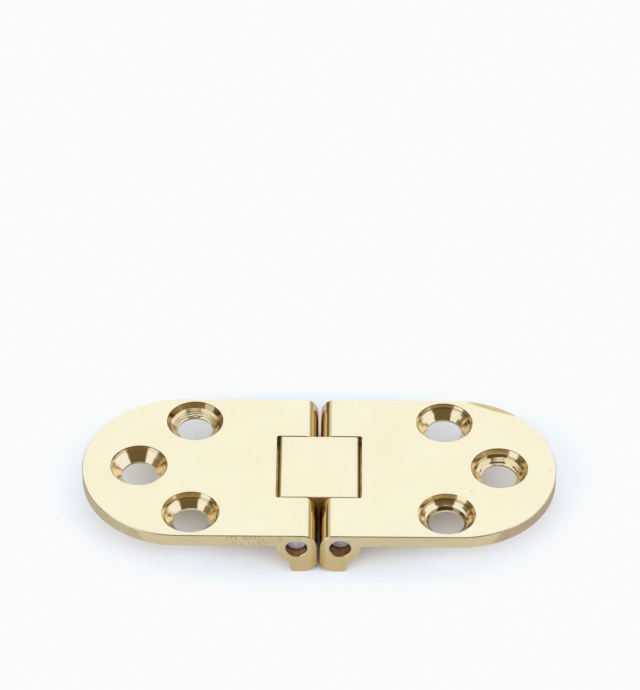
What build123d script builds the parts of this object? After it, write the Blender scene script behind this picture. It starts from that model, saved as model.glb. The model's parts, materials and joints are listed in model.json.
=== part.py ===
from build123d import *
import os
from math import asin, atan2, degrees, radians, sqrt, tan

# Two-pin card table hinge, lying open on its feet, in millimetres.
# X runs along the open hinge, Y along the pins, Z up out of the show face.
# The origin is midway between the pins and midway along them, on the surface
# that the feet stand on, so the show face lies knuckle_depth above it.
# A leaf's section is drawn with its pin at (0, 0): u points out to the leaf's
# tip and v points up to the show face.

# Overall sizes
open_length = 76.2          # tip to tip with both leaves open
hinge_width = 31.75         # along the pins
knuckle_depth = 7.9         # show face to the bottom of the feet
plate_thickness = 2.35

# Pins and their bores
pin_spacing = 6.92
pin_depth = 2.77            # show face down to a pin's axis
pin_diameter = 3.3
pin_length = 28.4
pin_end_chamfer = 0.2
pin_recess = {"left": 1.5, "right": 1.9}    # near pin end below the leaf's side
bore_edge_break = 0.15
link_pin_clearance = 0.05   # radial running clearance of the link on a pin

# Knuckles of the leaves
leaf_gap = 0.42             # between the two leaves' knuckles
boss_radius = 3.2           # rounding of the knuckle under the plate
shoulder_radius = 1.8       # softened corner from show face into the knuckle
heel_radius = 2.25          # inner bottom corner of a foot
toe_reach = 0.85            # from the pin out to the foot's outer bottom corner
toe_radius = 0.35
toe_draft = 5.0             # degrees that the foot widens upwards
root_radius = 0.25          # where boss meets foot and plate
edge_break = 0.12           # bevel round the leaf's whole outline

# Screw holes
pair_offset = 20.32         # centre of the hinge to a leaf's pair of holes
pair_spacing = 21.12        # between the two holes of a pair
end_offset = 28.97          # centre of the hinge to a leaf's end hole
rim_radius = 4.6
lip_depth = 0.7             # steep lip above the 90 degree cone of a countersink
lip_inset = 0.45
hole_radius = 2.85          # drilled through, where the cone ends

# Centre link and the notch that it lies in
link_width = 14.1
link_reach = 2.95           # from a pin out to the end of the link's show face
link_lip_reach = 5.3        # from a pin out to the end of the lip under a leaf
link_lip_depth = 1.77       # show face down to the top of a lip
link_edge_radius = 0.55
link_edge_break = 0.12      # bevel round the link's two sides
link_lip_radius = 0.3
link_heel_radius = 2.2
link_foot_clearance = 0.1   # link's underside above the feet's
link_side_clearance = 0.12
lip_clearance = 0.12        # between a lip's top and the leaf above it
lip_end_clearance = 0.2     # between a lip's end and the leaf's rebate
notch_reach = 3.44          # from a pin out to the notch's end, at the show face
notch_lean = 18.0           # degrees that the notch's end leans back going down
notch_corner_radius = 0.4

# Worked out from the sizes above
pin_x = pin_spacing / 2
pin_z = knuckle_depth - pin_depth
pin_radius = pin_diameter / 2
half_width = hinge_width / 2
tip_u = open_length / 2 - pin_x
barrel_radius = pin_x - leaf_gap / 2        # inner side of a knuckle, about its pin
foot_v = -pin_z                             # bottom of the feet, from the pin
underside_v = pin_depth - plate_thickness
lip_v = pin_depth - link_lip_depth          # top of the link's lips, from the pin
notch_half_width = link_width / 2 + link_side_clearance
overshoot = 1.0                             # how far cutters stand out of the metal


def nearest(items, *point):
    """The vertex or edge whose centre lies nearest to a point."""
    return min(items, key=lambda item: (item.center() - Vector(*point)).length)


def across(section, half_length):
    """A section drawn in X and Z, drawn out along Y to both sides."""
    return extrude(Plane.XZ * section, half_length, both=True)


def along_pin(radius, half_length):
    """A cylinder on the pin's axis."""
    return Rot(90, 0, 0) * Cylinder(radius, 2 * half_length)


def leaf_section():
    """Right-hand leaf seen along its pin: plate, rounded knuckle and foot."""
    shoulder_u = -sqrt(barrel_radius**2 - pin_depth**2)
    shoulder_turn = degrees(asin(pin_depth / barrel_radius))
    boss_u = sqrt(boss_radius**2 - underside_v**2)

    # The foot's outer side leans out as it rises, and ends on the boss.
    lean = tan(radians(toe_draft))
    a, b = 1 + lean**2, lean * (toe_reach - foot_v * lean)
    c = (toe_reach - foot_v * lean) ** 2 - boss_radius**2
    root_v = (-b - sqrt(b * b - a * c)) / a
    root_u = toe_reach + (root_v - foot_v) * lean
    root_angle = degrees(atan2(root_v, root_u))
    boss_angle = degrees(atan2(underside_v, boss_u))

    heel, toe = (-barrel_radius, foot_v), (toe_reach, foot_v)
    outline = [
        Line((tip_u, pin_depth), (shoulder_u, pin_depth)),
        CenterArc((0, 0), barrel_radius, 180 - shoulder_turn, shoulder_turn),
        Line((-barrel_radius, 0), heel),
        Line(heel, toe),
        Line(toe, (root_u, root_v)),
        CenterArc((0, 0), boss_radius, root_angle, boss_angle - root_angle),
        Line((boss_u, underside_v), (tip_u, underside_v)),
        Line((tip_u, underside_v), (tip_u, pin_depth)),
    ]
    section = make_face(outline)
    for corner, radius in (
        ((shoulder_u, pin_depth), shoulder_radius),
        (heel, heel_radius),
        (toe, toe_radius),
        ((root_u, root_v), root_radius),
        ((boss_u, underside_v), root_radius),
    ):
        section = fillet(nearest(section.vertices(), *corner), radius)
    return section


def leaf_plan():
    """Right-hand leaf seen from above: straight sides and a half-round end."""
    straight = tip_u + barrel_radius - half_width
    side = Pos(straight / 2 - barrel_radius, 0) * Rectangle(straight, hinge_width)
    return side + Pos(tip_u - half_width, 0) * Circle(half_width)


def notch():
    """What a leaf leaves free for the link. Its end leans back, so that the
    link's top edge passes it as the leaf swings up, and below that a rebate
    lets the link's lip in under the leaf."""
    top_v, bottom_v = pin_depth + overshoot, foot_v - overshoot
    start_u = -barrel_radius - overshoot
    ceiling_v = lip_v + lip_clearance
    rebate_u = link_lip_reach + lip_end_clearance
    lean = tan(radians(notch_lean))
    section = make_face(Polyline(
        (start_u, top_v),
        (notch_reach - overshoot * lean, top_v),
        (notch_reach + (pin_depth - ceiling_v) * lean, ceiling_v),
        (rebate_u, ceiling_v),
        (rebate_u, bottom_v),
        (start_u, bottom_v),
        close=True,
    ))
    body = across(section, notch_half_width)
    upright = [edge for edge in body.edges().filter_by(Axis.Y, reverse=True)
               if edge.center().X > 0 and abs(edge.tangent_at(0.5).Z) > 0.9]
    return fillet(upright, notch_corner_radius)


def countersink():
    """Cutter for one screw hole, with the show face at z = 0."""
    lip_radius = rim_radius - lip_inset
    slope = lip_inset / lip_depth
    cone_bottom = lip_depth + lip_radius - hole_radius
    profile = Polyline(
        (0, overshoot),
        (rim_radius + slope * overshoot, overshoot),
        (lip_radius, -lip_depth),
        (hole_radius, -cone_bottom),
        (hole_radius, -plate_thickness - overshoot),
        (0, -plate_thickness - overshoot),
        close=True,
    )
    return revolve(Plane.XZ * make_face(profile), Axis.Z)


def screw_places():
    """Centres of a leaf's three screw holes, measured out from its pin."""
    pair_u, end_u = pair_offset - pin_x, end_offset - pin_x
    return [(pair_u, pair_spacing / 2), (pair_u, -pair_spacing / 2), (end_u, 0)]


def right_leaf():
    """Right-hand leaf about its own pin."""
    plan = Pos(0, 0, foot_v) * extrude(leaf_plan(), pin_depth - foot_v)
    body = across(leaf_section(), half_width) & plan
    sides = body.faces().filter_by(Axis.Y)
    body = chamfer(sides.edges().filter_by(Axis.Z, reverse=True), edge_break)
    body -= notch()
    for u, y in screw_places():
        body -= Pos(u, y, pin_depth) * countersink()
    body -= along_pin(pin_radius, half_width + overshoot)
    mouths = [nearest(body.edges().filter_by(GeomType.CIRCLE), 0, side * half_width, 0)
              for side in (1, -1)]
    return chamfer(mouths, bore_edge_break)


def link():
    """Centre link about the middle of the hinge, at the height of the pins."""
    top_x, lip_x = pin_x + link_reach, pin_x + link_lip_reach
    bottom_v = foot_v + link_foot_clearance
    half = [(0, pin_depth), (top_x, pin_depth), (top_x, lip_v),
            (lip_x, lip_v), (lip_x, bottom_v), (0, bottom_v)]
    section = make_face(Polyline(half, close=True))
    for corner, radius in (
        (half[1], link_edge_radius),
        (half[2], link_lip_radius),
        (half[3], link_lip_radius),
        (half[4], link_heel_radius),
    ):
        section = fillet(nearest(section.vertices(), *corner), radius)
    section += mirror(section, Plane.YZ)
    body = across(section, link_width / 2)
    body = chamfer(body.faces().filter_by(Axis.Y).edges(), link_edge_break)
    for side in (1, -1):
        body -= Pos(side * pin_x, 0, 0) * along_pin(
            pin_radius + link_pin_clearance, link_width / 2 + overshoot)
    return body


def pin(side):
    """One pin on its axis, its near end set below the leaf's side."""
    near_end = -half_width + pin_recess[side]
    rod = chamfer(along_pin(pin_radius, pin_length / 2).edges(), pin_end_chamfer)
    return Pos(0, near_end + pin_length / 2, 0) * rod


def place(shape, side):
    """Puts a shape drawn for the right-hand pin on its side of the hinge."""
    if side == "left":
        shape = mirror(shape, Plane.YZ)
    return Pos(pin_x if side == "right" else -pin_x, 0, pin_z) * shape


def build():
    """Every piece of the open hinge in its place."""
    leaf = right_leaf()
    return {
        "left_leaf": place(leaf, "left"),
        "right_leaf": place(leaf, "right"),
        "centre_link": Pos(0, 0, pin_z) * link(),
        "left_pin": place(pin("left"), "left"),
        "right_pin": place(pin("right"), "right"),
    }


os.makedirs("parts", exist_ok=True)
for node, solid in build().items():
    solid.label = node
    export_step(solid, f"parts/{node}.step")
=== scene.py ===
"""Studio look of a two-pin card table hinge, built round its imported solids. The scene is in
metres, and the materials measure in millimetres from the frame's origin."""

import json
import math

import bpy
from mathutils import Matrix, Vector


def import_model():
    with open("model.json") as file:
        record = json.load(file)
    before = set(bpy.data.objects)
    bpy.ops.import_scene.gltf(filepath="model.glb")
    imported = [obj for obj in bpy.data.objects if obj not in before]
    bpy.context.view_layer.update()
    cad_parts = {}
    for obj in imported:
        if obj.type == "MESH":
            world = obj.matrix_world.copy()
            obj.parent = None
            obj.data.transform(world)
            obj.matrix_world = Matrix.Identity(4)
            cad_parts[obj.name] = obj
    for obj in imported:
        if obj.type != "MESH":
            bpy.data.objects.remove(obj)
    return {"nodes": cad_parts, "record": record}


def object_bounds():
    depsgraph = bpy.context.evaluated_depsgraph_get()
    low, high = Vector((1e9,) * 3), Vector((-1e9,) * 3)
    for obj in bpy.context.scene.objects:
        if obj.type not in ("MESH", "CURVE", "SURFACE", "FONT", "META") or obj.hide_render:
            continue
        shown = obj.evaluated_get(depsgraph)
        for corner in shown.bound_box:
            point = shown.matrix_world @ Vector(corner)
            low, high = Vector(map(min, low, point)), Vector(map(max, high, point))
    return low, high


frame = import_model()
cad_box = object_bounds()
MM = 0.001

# Camera, at the photograph's viewing angle
AIM = Vector((-0.11, 29.32, 7.9)) * MM      # what the middle of the picture shows
DISTANCE = 566.2 * MM
PITCH = math.radians(41.8)                  # how far the camera looks down
TURN = math.radians(-0.314)                 # from straight along +Y towards +X
ROLL = math.radians(0.243)
LENS = 176.7                                # on Blender's sensor of 36 mm
CLIP_START, CLIP_END = 0.05, 20.0
WHITE = 0.956                               # lightest tone of the picture

# Floor, in metres and linear colours. A list holds a colour's darker and lighter shades
FLOOR_SIZE = 6.0
FLOOR_SEEN = [(0.90, 0.90, 0.915, 1), (0.915, 0.915, 0.925, 1)]
FLOOR_MIRRORED = [(0.62, 0.61, 0.60, 1), (0.64, 0.63, 0.615, 1)]
FLOOR_UNDER_PAINTED_LIGHT = (0.9, 0.9, 0.91, 1)           # painted light under the hinge, where its shadow falls; only the metal mirrors it
UNDER_X, UNDER_Y = (0.038, 0.034), (0.017, 0.013)     # from the origin, where that fades in
CLOUD_SCALE = 9.0

# Soft boxes, in metres and watts: each one's turn from -Y towards +X, and its power
BOXES = {-50.0: 6.2, 66.0: 4.9}
BOX_COLOUR = (0.87, 1.0, 1.17)
BOX_WIDTH, BOX_HEIGHT = 0.9, 0.5
BOX_AWAY, BOX_UP = 0.95, 0.38               # from the hinge, along the floor and above it

# A direction in the studio has three measures: its height, from 0 at the horizon to 1
# overhead, and how far it points ahead, to the camera's side, and right, from -1 to 1. A
# span is a measure with the two values between which something fades in
FRONT_TURN = math.radians(9.5)              # middle of the camera's side, from -Y towards +X
FRONT_WIDTH = math.radians(47.0)            # half its width
FRONT_BLUR = 0.04                           # half the blur of its edges, in radians
FRONT_EDGE = (math.cos(FRONT_WIDTH + FRONT_BLUR), math.cos(FRONT_WIDTH - FRONT_BLUR))
IN_FRONT = ("ahead", *FRONT_EDGE)
NOT_IN_FRONT = ("ahead", *reversed(FRONT_EDGE))
FRONT_HALF = ("ahead", -0.05, 0.05)
BEHIND = ("ahead", -0.5, -0.6)
NOT_BEHIND = ("ahead", -0.6, -0.5)
RIGHT = ("right", 0.3, 0.4)
LEFT = ("right", -0.3, -0.45)
FAR_LEFT = ("right", math.sin(math.radians(-73.0)), math.sin(math.radians(-77.0)))
NOT_OVERHEAD = ("height", 0.93, 0.87)

# Tent whose light the floor and the metal's haze scatter, as linear colours
TENT = (1.72, 1.77, 1.86, 1.0)              # halfway up, and at most heights in front
HIGH_TENT = (0.66, 0.68, 0.72, 1.0)
LOW_TENT = (0.34, 0.35, 0.37, 1.0)
HALF_SHADE = (0.5, 0.5, 0.5)                # tone of the front half
HIGH = ("height", 0.55, 0.65)
LOW = ("height", 0.33, 0.27)

# Studio that the metal mirrors, as linear colours. Each layer covers those before it
# within all its spans
PANEL = (1.04, 1.16, 1.5, 1.0)              # bright, wherever no layer covers it
CAMERA_SIDE = (0.165, 0.125, 0.075, 1.0)
TABLE_SIDE = (0.45, 0.35, 0.22, 1.0)
BACK_HAZE = (0.68, 0.67, 0.62, 1.0)
BACK_RIGHT = (0.50, 0.43, 0.28, 1.0)
LEFT_LOW = (0.62, 0.50, 0.32, 1.0)
BACK_LEFT = (0.16, 0.115, 0.05, 1.0)
LEFT_BAR = (0.26, 0.22, 0.15, 1.0)
LAYERS = [
    (CAMERA_SIDE, IN_FRONT, NOT_OVERHEAD),
    (TABLE_SIDE, IN_FRONT, ("height", 0.42, 0.32)),
    (BACK_HAZE, BEHIND, ("right", -0.2, -0.4), ("height", 0.66, 0.56)),
    (BACK_RIGHT, BEHIND, RIGHT, ("height", 0.50, 0.38)),
    (TABLE_SIDE, NOT_IN_FRONT, NOT_BEHIND, RIGHT, ("height", 0.32, 0.24)),
    (LEFT_LOW, ("ahead", -0.25, -0.35), LEFT, ("height", 0.40, 0.32)),
    (BACK_LEFT, BEHIND, LEFT, ("height", 0.44, 0.34)),
    (LEFT_BAR, FAR_LEFT, ("height", 0.56, 0.52)),
]

# Places on the hinge in millimetres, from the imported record
record = frame["record"]
mounts = {mount["name"]: mount for mount in record["mounts"]}
joints = {joint["name"]: joint for joint in record["behaviour"]["joints"]}
SHOW_Z = cad_box[1].z / MM
PLATE = SHOW_Z - mounts["left_underside"]["pos_m"][2] / MM      # a leaf's thickness
PIN_X, PIN_Z = (joints["right_fold"]["pos_m"][axis] / MM for axis in (0, 2))

# Other lengths in millimetres. A pair is where a mask begins and where it is full
BELOW_DEPTH = (1.8, 5.0)                    # browner brass, down from the show face
END_X = 29.1                                # where an end's roughness begins at the show face
END_LEAN = 0.75                             # how much further in for each millimetre down
SHOULDER_X = (3.4, 2.8)                     # rounded shoulders of the leaves' knuckles
INNER_X = (1.5, 0.3)                        # painted shade between the knuckles
BORE_RADIUS = (1.74, 1.68)                  # drilling for a pin
LINK_TOP_DEPTH = (0.6, 0.3)                 # link's show face
LIP_DEPTH, LIP_X = (0.4, 1.2), (5.0, 6.0)   # link's lips, under the leaves
LINK_SIDE_Y = (6.9, 7.0)                    # link's two sides
RIM_RADIUS = 4.7                            # as far as the cutter's bands reach
WANDER = 0.03                               # how far their edges wander up and down
RING_PITCH = 0.19                           # fine rings in the bands
RING_TILT = 3.0                             # degrees that the rings tilt a band
RIGHT_ANGLE = 90.0                          # degrees that a ramp's alpha of 1 stands for

# Brass and steel, as linear colours, and how metallic a lacquered and a ground face is
BRASS_DARK = (0.865, 0.73, 0.43, 1.0)
BRASS_LIGHT = (0.89, 0.755, 0.455, 1.0)
STEEL_DARK = (0.55, 0.56, 0.62, 1.0)
STEEL_LIGHT = (0.78, 0.79, 0.86, 1.0)
LACQUERED = 0.8
GROUND = 0.55

# Roughness, as one number or from a finish's smoothest to its roughest
POLISHED = (0.1, 0.15)
MILLED = (0.28, 0.38)
TURNED = 0.11
END_EXTRA = 0.12                            # what an end's finish adds
LINK_ROUGH, LINK_POLISHED = 0.4, 0.12
GROUND_ROUGH = (0.22, 0.4)

# Tones that multiply the brass, by place
BELOW = (1.02, 0.94, 0.82)
UNDERNEATH = (0.76, 0.68, 0.56)
# painted shade between the knuckles
KNUCKLE_GAP_SHADE = (0.80, 0.68, 0.48)
# the pin's bore: its drilled brown, and painted shade in that recess
BORE_BROWN_AND_SHADE = (0.5, 0.32, 0.24)
LIP = (0.85, 0.70, 0.40)
# darker blotches on the lips
LIP_BLOTCHES = (0.7, 0.65, 0.5)
LINK_SIDE = (1.08, 0.88, 0.5)

# Tones of small marks
TICK = (0.78, 0.74, 0.66)
GRAIN = (0.95, 0.925, 0.89)
SCRATCH = (0.72, 0.64, 0.52)
NICK = (0.62, 0.58, 0.5)
# painted shade on the buffed-off edge
BUFFED_EDGE_SHADE = (0.70, 0.62, 0.36)

# Tones of the cutter's bands, partly their finish and partly painted shade and reflection, and
# of a hole's sides, which are painted light and shade
BRIGHT_BAND = (1.0, 0.95, 0.88)
MUTED_BAND = (0.88, 0.81, 0.68)
DIM = (0.64, 0.57, 0.44)
DARK = (0.40, 0.34, 0.24)
HOLE_PAINTED_LIGHT = (1.08, 1.12, 1.35)                   # painted light, all round but the back
HOLE_PAINTED_SHADE = (0.82, 0.78, 0.70)                 # painted shade on the right side

# Bands that the cutter left in each countersink, from the show face down: the depth at which
# a band starts in millimetres, its slope in degrees and its tone, which is partly the cut's
# finish and partly painted shade and reflection
BANDS = {
    ("left", "near"): [(0.0, 60, DIM), (0.1, 56, BRIGHT_BAND), (0.5, 60, MUTED_BAND), (0.72, 50, DIM),
                       (0.82, 45, BRIGHT_BAND), (1.1, 40, BRIGHT_BAND), (1.16, 45, BRIGHT_BAND), (1.7, 48, BRIGHT_BAND)],
    ("left", "far"): [(0.0, 60, DARK), (0.12, 58, DIM), (0.86, 36, MUTED_BAND), (1.26, 52, DIM),
                      (1.34, 33, MUTED_BAND), (1.46, 54, DIM), (1.56, 33, MUTED_BAND), (1.72, 56, DIM),
                      (1.84, 36, BRIGHT_BAND)],
    ("left", "end"): [(0.0, 60, DARK), (0.12, 56, MUTED_BAND), (0.3, 44, BRIGHT_BAND), (0.4, 58, DIM),
                      (0.48, 45, BRIGHT_BAND), (0.92, 41, BRIGHT_BAND), (1.0, 45, BRIGHT_BAND)],
    ("right", "near"): [(0.0, 56, BRIGHT_BAND), (0.2, 58, BRIGHT_BAND), (0.55, 60, DIM), (0.64, 46, DIM),
                        (0.9, 45, BRIGHT_BAND), (1.3, 37, BRIGHT_BAND), (1.6, 45, DARK)],
    ("right", "far"): [(0.0, 60, DARK), (0.12, 57, BRIGHT_BAND), (0.42, 60, DIM), (0.52, 46, DIM),
                       (0.7, 45, BRIGHT_BAND), (0.86, 49, BRIGHT_BAND), (0.94, 43, BRIGHT_BAND), (1.5, 47, BRIGHT_BAND)],
    ("right", "end"): [(0.0, 58, DARK), (0.12, 57, BRIGHT_BAND), (0.5, 60, BRIGHT_BAND), (0.78, 47, DIM),
                       (1.12, 35, MUTED_BAND), (1.62, 45, MUTED_BAND), (1.82, 34, BRIGHT_BAND)],
}

# Each rough end's tone, and how softly it begins in millimetres
END_FINISH = {"left": ((0.82, 0.81, 0.80), 0.2), "right": ((0.72, 0.65, 0.72), 0.7)}

# Small marks in millimetres: nicks in the show faces by x, y and radius, a flat patch of
# upright scratches on the near edge, and the circle that holds the painted shade of the
# buffed-off edge
NICKS = [(-10.0, 1.2, 0.10), (-1.7, -11.1, 0.14), (5.4, 13.7, 0.12), (24.4, -5.3, 0.14),
         (37.1, -0.4, 0.16)]
SCRATCHED_X, SCRATCHED_Y, SCRATCHED_Z = -10.0, -15.9, 7.0
SCRATCHED_RADIUS = (5.5, 4.0)
SCRATCHED_FLATNESS = 3.0
BUFFED_CENTRE, BUFFED_RADIUS = (39.6, 41.3, 0.0), 30.0
BUFFED_BLUR = 0.1


class Nodes:
    """A material's or world's node tree, with short calls for the nodes used here."""

    def __init__(self, owner):
        owner.use_nodes = True
        self.tree = owner.node_tree
        self.tree.nodes.clear()

    def add(self, kind, **settings):
        node = self.tree.nodes.new(kind)
        for name, value in settings.items():
            setattr(node, name, value)
        return node

    def put(self, value, socket):
        """Sets an input socket from a number, a colour or another node's output."""
        if isinstance(value, bpy.types.NodeSocket):
            self.tree.links.new(value, socket)
        elif value is not None:
            socket.default_value = value

    def math(self, operation, a, b=None, c=None):
        node = self.add("ShaderNodeMath", operation=operation)
        for value, socket in zip((a, b, c), node.inputs):
            self.put(value, socket)
        return node.outputs[0]

    def both(self, *masks):
        """The product of several masks."""
        result = masks[0]
        for mask in masks[1:]:
            result = self.math("MULTIPLY", result, mask)
        return result

    def vector(self, operation, a, b=None, out=0):
        node = self.add("ShaderNodeVectorMath", operation=operation)
        self.put(a, node.inputs[0])
        self.put(b, node.inputs[1])
        return node.outputs[out]

    def remap(self, value, low, high, to_low=0.0, to_high=1.0):
        """Maps one span softly to another, and holds its ends. Low may be the larger."""
        node = self.add("ShaderNodeMapRange", interpolation_type="SMOOTHSTEP")
        for item, socket in zip((value, low, high, to_low, to_high), node.inputs):
            self.put(item, socket)
        return node.outputs[0]

    def noise(self, where, scale, detail=2.0, rough=0.5):
        node = self.add("ShaderNodeTexNoise")
        self.put(where, node.inputs["Vector"])
        node.inputs["Scale"].default_value = scale
        node.inputs["Detail"].default_value = detail
        node.inputs["Roughness"].default_value = rough
        return node.outputs["Fac"]

    def mix(self, factor, a, b, blend="MIX"):
        node = self.add("ShaderNodeMix", data_type="RGBA", blend_type=blend)
        self.put(factor, node.inputs[0])
        self.put(a, node.inputs[6])
        self.put(b, node.inputs[7])
        return node.outputs[2]

    def pick(self, mask, a, b):
        """The number a, or b where the mask is 1."""
        node = self.add("ShaderNodeMix", data_type="FLOAT")
        for value, socket in zip((mask, a, b), (node.inputs[0], *node.inputs[2:4])):
            self.put(value, socket)
        return node.outputs[0]

    def tone(self, mask, colour, tone):
        """Multiplies a colour by a tone where the mask is 1."""
        return self.mix(mask, colour, (*tone, 1.0), blend="MULTIPLY")

    def split(self, value):
        node = self.add("ShaderNodeSeparateXYZ")
        self.put(value, node.inputs[0])
        return node.outputs

    def join(self, x, y, z):
        node = self.add("ShaderNodeCombineXYZ")
        for value, socket in zip((x, y, z), node.inputs):
            self.put(value, socket)
        return node.outputs[0]


class Metal(Nodes):
    """A metal material being built, with the coordinates that its masks are made from."""

    def __init__(self, name):
        self.material = bpy.data.materials.new(name)
        super().__init__(self.material)
        self.shader = self.add("ShaderNodeBsdfPrincipled")
        self.shader.inputs["Metallic"].default_value = 1.0
        out = self.add("ShaderNodeOutputMaterial")
        self.put(self.shader.outputs[0], out.inputs[0])
        place = self.add("ShaderNodeTexCoord")
        self.where = self.vector("MULTIPLY", place.outputs["Object"], (1 / MM,) * 3)
        x, self.y, z = self.split(self.where)
        self.out_x = self.math("ABSOLUTE", x)
        self.depth = self.math("SUBTRACT", SHOW_Z, z)
        self.facing = place.outputs["Normal"]
        self.up = self.split(self.facing)[2]

    def stretched(self, x, y, z):
        """The place, scaled along each axis to draw out a noise or to flatten it."""
        return self.vector("MULTIPLY", self.where, (x, y, z))

    def facing_up(self):
        """A mask of the faces that lie level and face up."""
        return self.remap(self.up, 0.9, 0.98)

    def upright(self):
        """A mask of the upright faces."""
        return self.remap(self.math("ABSOLUTE", self.up), 0.5, 0.3)

    def haze(self, mask):
        """A thin lacquer on the show faces scatters some of the light."""
        self.put(self.pick(mask, 1.0, LACQUERED), self.shader.inputs["Metallic"])

    def to_world(self, direction):
        """A direction on the solid, turned with the solid into the world."""
        turned = self.add("ShaderNodeVectorTransform", vector_type="NORMAL",
                          convert_from="OBJECT", convert_to="WORLD")
        self.put(direction, turned.inputs[0])
        return self.vector("NORMALIZE", turned.outputs[0])

    def finish(self, colour, rough, normal=None):
        self.put(colour, self.shader.inputs["Base Color"])
        self.put(rough, self.shader.inputs["Roughness"])
        self.put(normal, self.shader.inputs["Normal"])
        return self.material


class Studio(Nodes):
    """The world being built, with the measures of a direction in it."""

    def __init__(self, item):
        super().__init__(item)
        self.background = self.add("ShaderNodeBackground")
        out = self.add("ShaderNodeOutputWorld")
        self.put(self.background.outputs[0], out.inputs[0])
        towards = self.add("ShaderNodeTexCoord").outputs["Generated"]
        level = self.vector("NORMALIZE", self.vector("MULTIPLY", towards, (1.0, 1.0, 0.0)))
        front = Vector((math.sin(FRONT_TURN), -math.cos(FRONT_TURN), 0.0))
        self.measures = {"height": self.split(towards)[2], "right": self.split(level)[0],
                         "ahead": self.vector("DOT_PRODUCT", level, front, out=1)}

    def within(self, *spans):
        """A mask of the directions that lie within all the spans."""
        return self.both(*(self.remap(self.measures[name], low, high)
                           for name, low, high in spans))


def hole_centres(side):
    """Centres of one leaf's three screw holes in the plane, by place."""
    pair, end = mounts[f"{side}_pair_holes"], mounts[f"{side}_end_hole"]
    half = pair["dims"]["spacing_y_mm"] / 2
    x, y = (value / MM for value in pair["pos_m"][:2])
    return {"near": (x, y - half, 0.0), "far": (x, y + half, 0.0),
            "end": (*(value / MM for value in end["pos_m"][:2]), 0.0)}


def band_ramp(metal, level, bands):
    """A stepped colour ramp down a countersink. Its alpha holds the slope."""
    node = metal.add("ShaderNodeValToRGB")
    metal.put(level, node.inputs[0])
    node.color_ramp.interpolation = "CONSTANT"
    stops = node.color_ramp.elements
    for index, (depth, slope, tone) in enumerate(bands):
        stop = stops[index] if index < 2 else stops.new(depth / PLATE)
        stop.position = depth / PLATE
        stop.color = (*tone, slope / RIGHT_ANGLE)
    return node.outputs


def one_hole(metal, centre, level, bands):
    """A hole's mask, the way out from its centre, and its bands' tone and slope."""
    away = metal.vector("SUBTRACT", metal.stretched(1.0, 1.0, 0.0), centre)
    inside = metal.math("LESS_THAN", metal.vector("LENGTH", away, out=1), RIM_RADIUS)
    return inside, away, *band_ramp(metal, level, bands)


def cone_direction(metal, slope, across, back):
    """Which way a cone of that slope faces, with the fine rings that the cutter turned."""
    rings = metal.math("SINE", metal.math("MULTIPLY", metal.depth, 2 * math.pi / RING_PITCH))
    uneven = metal.remap(metal.noise(metal.where, 0.9, 1.0), 0.45, 0.65, 0.2, 1.0)
    tilt = metal.both(rings, uneven, RING_TILT)
    angle = metal.math("RADIANS", metal.math("MULTIPLY_ADD", slope, RIGHT_ANGLE, tilt))
    inwards = metal.math("MULTIPLY", metal.math("SINE", angle), -1.0)
    return metal.join(metal.both(across, inwards), metal.both(back, inwards),
                      metal.math("COSINE", angle))


def cutter_bands(metal, side):
    """What the cutter left in one leaf's holes, with painted shade and reflection in the bands
    and painted light and shade on the sides: a mask, the tone and the surface's direction.
    """
    wander = metal.remap(metal.noise(metal.where, 1.1, 2.0), 0.3, 0.7, -WANDER, WANDER)
    level = metal.math("DIVIDE", metal.math("ADD", metal.depth, wander), PLATE)
    holes = [one_hole(metal, centre, level, BANDS[side, place])
             for place, centre in hole_centres(side).items()]
    mask, away, tone, slope = holes[0]
    for inside, hole_away, hole_tone, hole_slope in holes[1:]:
        away = metal.mix(inside, away, hole_away)
        tone = metal.mix(inside, tone, hole_tone)
        slope = metal.pick(inside, slope, hole_slope)
        mask = metal.math("MAXIMUM", mask, inside)
    cut = metal.both(mask, metal.remap(metal.up, 0.985, 0.96), metal.remap(metal.up, 0.1, 0.2))
    across, back = metal.split(metal.vector("NORMALIZE", away))[:2]
    # painted light on a hole's sides, all but the back, and painted shade on its right side
    tone = metal.tone(metal.remap(back, 0.5, 0.1), tone, HOLE_PAINTED_LIGHT)
    tone = metal.tone(metal.remap(across, 0.7, 0.95), tone, HOLE_PAINTED_SHADE)
    return cut, tone, cone_direction(metal, slope, across, back)


def brass_colour(metal):
    """Brass, slightly clouded, browner lower down and darker on faces that face down."""
    cloud = metal.remap(metal.noise(metal.where, 0.12, 3.0), 0.3, 0.7)
    colour = metal.mix(cloud, BRASS_DARK, BRASS_LIGHT)
    colour = metal.tone(metal.remap(metal.depth, *BELOW_DEPTH), colour, BELOW)
    return metal.tone(metal.remap(metal.up, -0.5, -0.8), colour, UNDERNEATH)


def leaf_roughness(metal):
    """Polished show face and shoulders, streaked along the hinge. The rest is milled."""
    milled = metal.remap(metal.noise(metal.where, 0.8, 3.0), 0.3, 0.7, *MILLED)
    streaks = metal.noise(metal.stretched(0.15, 3.0, 1.0), 2.0, 2.0)
    polished = metal.remap(streaks, 0.3, 0.7, *POLISHED)
    shoulder = metal.both(metal.remap(metal.out_x, *SHOULDER_X), metal.remap(metal.up, 0.0, 0.1))
    return metal.pick(metal.math("MAXIMUM", metal.facing_up(), shoulder), milled, polished)


def end_finish(metal, colour, rough, tone, blur):
    """The half-round end's edge was left rougher than the straight sides."""
    line = metal.math("MULTIPLY_ADD", metal.depth, -END_LEAN, END_X)
    beyond = metal.math("SUBTRACT", metal.out_x, line)
    mask = metal.both(metal.remap(beyond, -blur, blur), metal.upright())
    mottle = metal.remap(metal.noise(metal.where, 1.4, 4.0, 0.65), 0.35, 0.65, 0.75, 1.15)
    colour = metal.tone(metal.both(mask, mottle), colour, tone)
    return colour, metal.math("MULTIPLY_ADD", mask, END_EXTRA, rough)


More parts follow.
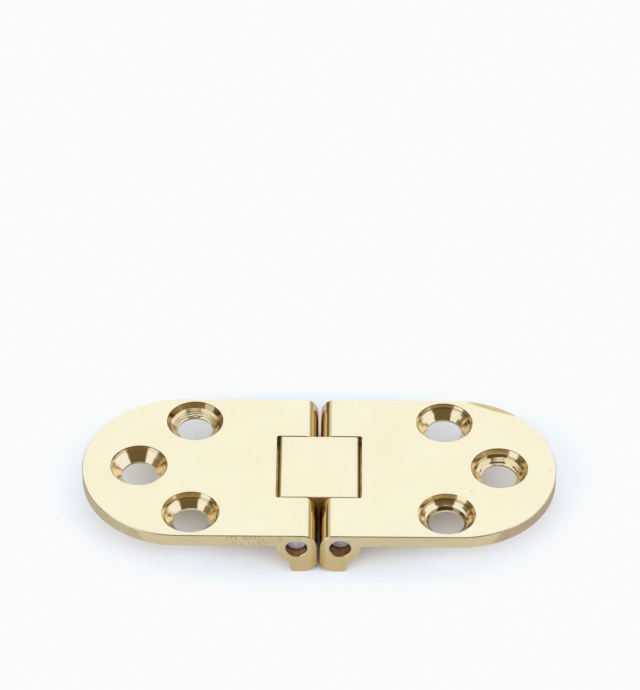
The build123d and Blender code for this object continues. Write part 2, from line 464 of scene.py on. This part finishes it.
def edge_marks(metal, colour):
    """Dark ticks, grain and a patch of scratches on the upright edges."""
    upright = metal.upright()
    ticks = metal.remap(metal.noise(metal.stretched(1.6, 1.6, 0.7), 2.1, 3.0, 0.7), 0.66, 0.74)
    colour = metal.tone(metal.both(ticks, upright), colour, TICK)
    grain = metal.remap(metal.noise(metal.stretched(0.5, 0.5, 3.0), 1.6, 4.0, 0.7), 0.4, 0.6)
    colour = metal.tone(metal.both(grain, upright), colour, GRAIN)
    centre = (SCRATCHED_X, SCRATCHED_Y, SCRATCHED_Z * SCRATCHED_FLATNESS)
    away = metal.vector("DISTANCE", metal.stretched(1.0, 1.0, SCRATCHED_FLATNESS), centre, out=1)
    lines = metal.remap(metal.noise(metal.stretched(3.0, 0.3, 0.45), 1.9, 1.0), 0.56, 0.62)
    scratched = metal.both(metal.remap(away, *SCRATCHED_RADIUS), lines, upright)
    return metal.tone(scratched, colour, SCRATCH)


def small_marks(metal, colour):
    """Tiny nicks in the show faces, and painted shade on the stretch of edge that was buffed
    off.
    """
    flat = metal.stretched(1.0, 1.0, 0.0)
    top = metal.facing_up()
    for x, y, radius in NICKS:
        away = metal.vector("DISTANCE", flat, (x, y, 0.0), out=1)
        mask = metal.both(metal.remap(away, radius * 1.4, radius * 0.5), top)
        colour = metal.tone(mask, colour, NICK)
    # painted shade along the buffed-off edge
    away = metal.vector("DISTANCE", flat, BUFFED_CENTRE, out=1)
    near = metal.remap(away, BUFFED_RADIUS + BUFFED_BLUR, BUFFED_RADIUS - BUFFED_BLUR)
    return metal.tone(metal.both(near, top), colour, BUFFED_EDGE_SHADE)


def hidden_parts(metal, side, colour):
    """Painted shade between the knuckles, and the pin's bore in brown drilled brass with painted
    shade in that recess.
    """
    # painted shade between the knuckles
    gap_shade = metal.both(metal.remap(metal.out_x, *INNER_X), metal.remap(metal.up, 0.97, 0.75))
    colour = metal.tone(gap_shade, colour, KNUCKLE_GAP_SHADE)
    axis = (PIN_X if side == "right" else -PIN_X, 0.0, PIN_Z)
    from_pin = metal.vector("SUBTRACT", metal.stretched(1.0, 0.0, 1.0), axis)
    # the bore's drilled brown, and painted shade in that recess
    bore_shade = metal.remap(metal.vector("LENGTH", from_pin, out=1), *BORE_RADIUS)
    return metal.tone(bore_shade, colour, BORE_BROWN_AND_SHADE)


def leaf_brass(side):
    """One leaf: lacquered show face, milled sides, rough end, small marks and turned holes."""
    metal = Metal(f"{side}_brass")
    metal.haze(metal.facing_up())
    colour, rough = end_finish(
        metal, brass_colour(metal), leaf_roughness(metal), *END_FINISH[side])
    colour = small_marks(metal, edge_marks(metal, colour))
    colour = hidden_parts(metal, side, colour)
    cut, tone, direction = cutter_bands(metal, side)
    # the bands' tones, partly the cut's finish and partly painted shade and reflection
    colour = metal.mix(cut, colour, metal.mix(1.0, colour, tone, blend="MULTIPLY"))
    rough = metal.pick(cut, rough, TURNED)
    normal = metal.to_world(metal.mix(cut, metal.facing, direction))
    return metal.finish(colour, rough, normal)


def link_brass():
    """The link: lacquered show face, darker olive lips in blotches, and golden sides."""
    metal = Metal("link_brass")
    polished = metal.both(metal.facing_up(), metal.remap(metal.depth, *LINK_TOP_DEPTH))
    metal.haze(polished)
    # darker, more olive lips under the leaves, in blotches
    lips = metal.both(metal.remap(metal.depth, *LIP_DEPTH), metal.remap(metal.out_x, *LIP_X))
    colour = metal.tone(lips, brass_colour(metal), LIP)
    blotches = metal.remap(metal.noise(metal.stretched(1.0, 0.4, 1.0), 1.2, 3.0), 0.35, 0.65)
    colour = metal.tone(metal.both(lips, blotches), colour, LIP_BLOTCHES)
    sides = metal.both(metal.remap(metal.math("ABSOLUTE", metal.y), *LINK_SIDE_Y),
                       metal.remap(metal.up, 0.5, 0.3))
    colour = metal.tone(sides, colour, LINK_SIDE)
    rough = metal.remap(polished, 0.0, 1.0, LINK_ROUGH, LINK_POLISHED)
    return metal.finish(small_marks(metal, colour), rough)


def steel(name):
    """Ground steel, which scatters some of the light."""
    metal = Metal(name)
    metal.shader.inputs["Metallic"].default_value = GROUND
    grain = metal.noise(metal.where, 0.9, 3.0)
    colour = metal.mix(grain, STEEL_DARK, STEEL_LIGHT)
    return metal.finish(colour, metal.remap(grain, 0.3, 0.7, *GROUND_ROUGH))


def dress(node, material):
    """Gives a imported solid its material."""
    piece = frame["nodes"][node]
    piece.data.materials.clear()
    piece.data.materials.append(material)


def camera():
    """Looks down at the hinge from its near side."""
    data = bpy.data.cameras.new("camera")
    data.lens = LENS
    data.clip_start, data.clip_end = CLIP_START, CLIP_END
    item = bpy.data.objects.new("camera", data)
    bpy.context.scene.collection.objects.link(item)
    level_part = math.cos(PITCH)
    look = Vector((math.sin(TURN) * level_part, math.cos(TURN) * level_part, -math.sin(PITCH)))
    level = look.cross(Vector((0, 0, 1))).normalized()
    right = level * math.cos(ROLL) + level.cross(look) * math.sin(ROLL)
    turned = Matrix((right, right.cross(look), -look)).transposed().to_4x4()
    item.matrix_world = Matrix.Translation(AIM - look * DISTANCE) @ turned
    bpy.context.scene.camera = item


def floor():
    """White paper. The metal mirrors it darker than the camera sees it, apart from what lies
    under the hinge, where the hinge's shadow falls: there it mirrors a pool of painted light."""
    bpy.ops.mesh.primitive_plane_add(size=FLOOR_SIZE)
    item = bpy.context.object
    item.name = "floor"
    material = bpy.data.materials.new("floor")
    nodes = Nodes(material)
    shader = nodes.add("ShaderNodeBsdfPrincipled")
    out = nodes.add("ShaderNodeOutputMaterial")
    nodes.put(shader.outputs[0], out.inputs[0])
    where = nodes.add("ShaderNodeTexCoord").outputs["Object"]
    seen = nodes.add("ShaderNodeLightPath").outputs["Is Camera Ray"]
    cloud = nodes.noise(where, CLOUD_SCALE)
    across, along = nodes.split(nodes.vector("ABSOLUTE", where))[:2]
    # a pool of painted light under the hinge, which only the metal mirrors
    under = nodes.both(nodes.remap(across, *UNDER_X), nodes.remap(along, *UNDER_Y))
    mirrored = nodes.mix(under, nodes.mix(cloud, *FLOOR_MIRRORED), FLOOR_UNDER_PAINTED_LIGHT)
    colour = nodes.mix(seen, mirrored, nodes.mix(cloud, *FLOOR_SEEN))
    nodes.put(colour, shader.inputs["Base Color"])
    shader.inputs["Roughness"].default_value = 1.0
    shader.inputs["Specular IOR Level"].default_value = 0.0
    item.data.materials.append(material)


def tent(studio):
    """The light that scatters. It is brightest halfway up behind the hinge and in front, and
    dimmer overhead, near the horizon and at both sides of the front."""
    light = studio.mix(studio.within(HIGH), TENT, HIGH_TENT)
    light = studio.tone(studio.within(FRONT_HALF), light, HALF_SHADE)
    light = studio.mix(studio.within(IN_FRONT, NOT_OVERHEAD), light, TENT)
    return studio.mix(studio.within(LOW), light, LOW_TENT)


def mirrored_studio(studio):
    """What the metal mirrors: bright overhead, behind and to the right, with the camera and a
    table at the front and a dark bar low on the left."""
    colour = PANEL
    for layer, *spans in LAYERS:
        colour = studio.mix(studio.within(*spans), colour, layer)
    return colour


def world():
    """A tent that lights what scatters light, and a studio for the metal to mirror."""
    item = bpy.data.worlds.new("studio")
    bpy.context.scene.world = item
    item.cycles.sampling_method = "NONE"
    studio = Studio(item)
    glossy = studio.add("ShaderNodeLightPath").outputs["Is Glossy Ray"]
    colour = studio.mix(glossy, tent(studio), mirrored_studio(studio))
    studio.put(colour, studio.background.inputs["Color"])


def soft_boxes():
    """Large soft lights low at both sides of the camera. The metal doesn't mirror them."""
    for turn, power in BOXES.items():
        data = bpy.data.lights.new("soft_box", "AREA")
        data.shape = "RECTANGLE"
        data.size, data.size_y = BOX_WIDTH, BOX_HEIGHT
        data.energy, data.color = power, BOX_COLOUR
        item = bpy.data.objects.new("soft_box", data)
        bpy.context.scene.collection.objects.link(item)
        angle = math.radians(turn)
        item.location = (math.sin(angle) * BOX_AWAY, -math.cos(angle) * BOX_AWAY, BOX_UP)
        item.rotation_euler = (-item.location).to_track_quat("-Z", "Y").to_euler()
        item.visible_glossy = False


def picture_tones():
    """Plain tones, with the lightest held at a paper white."""
    view = bpy.context.scene.view_settings
    view.view_transform = "Standard"
    view.use_curve_mapping = True
    curves = view.curve_mapping
    curves.extend = "HORIZONTAL"
    curves.curves[3].points[1].location = (WHITE, WHITE)
    curves.update()


for side in ("left", "right"):
    dress(f"{side}_leaf", leaf_brass(side))
    dress(f"{side}_pin", steel(f"{side}_steel"))
dress("centre_link", link_brass())
camera()
floor()
world()
soft_boxes()
picture_tones()
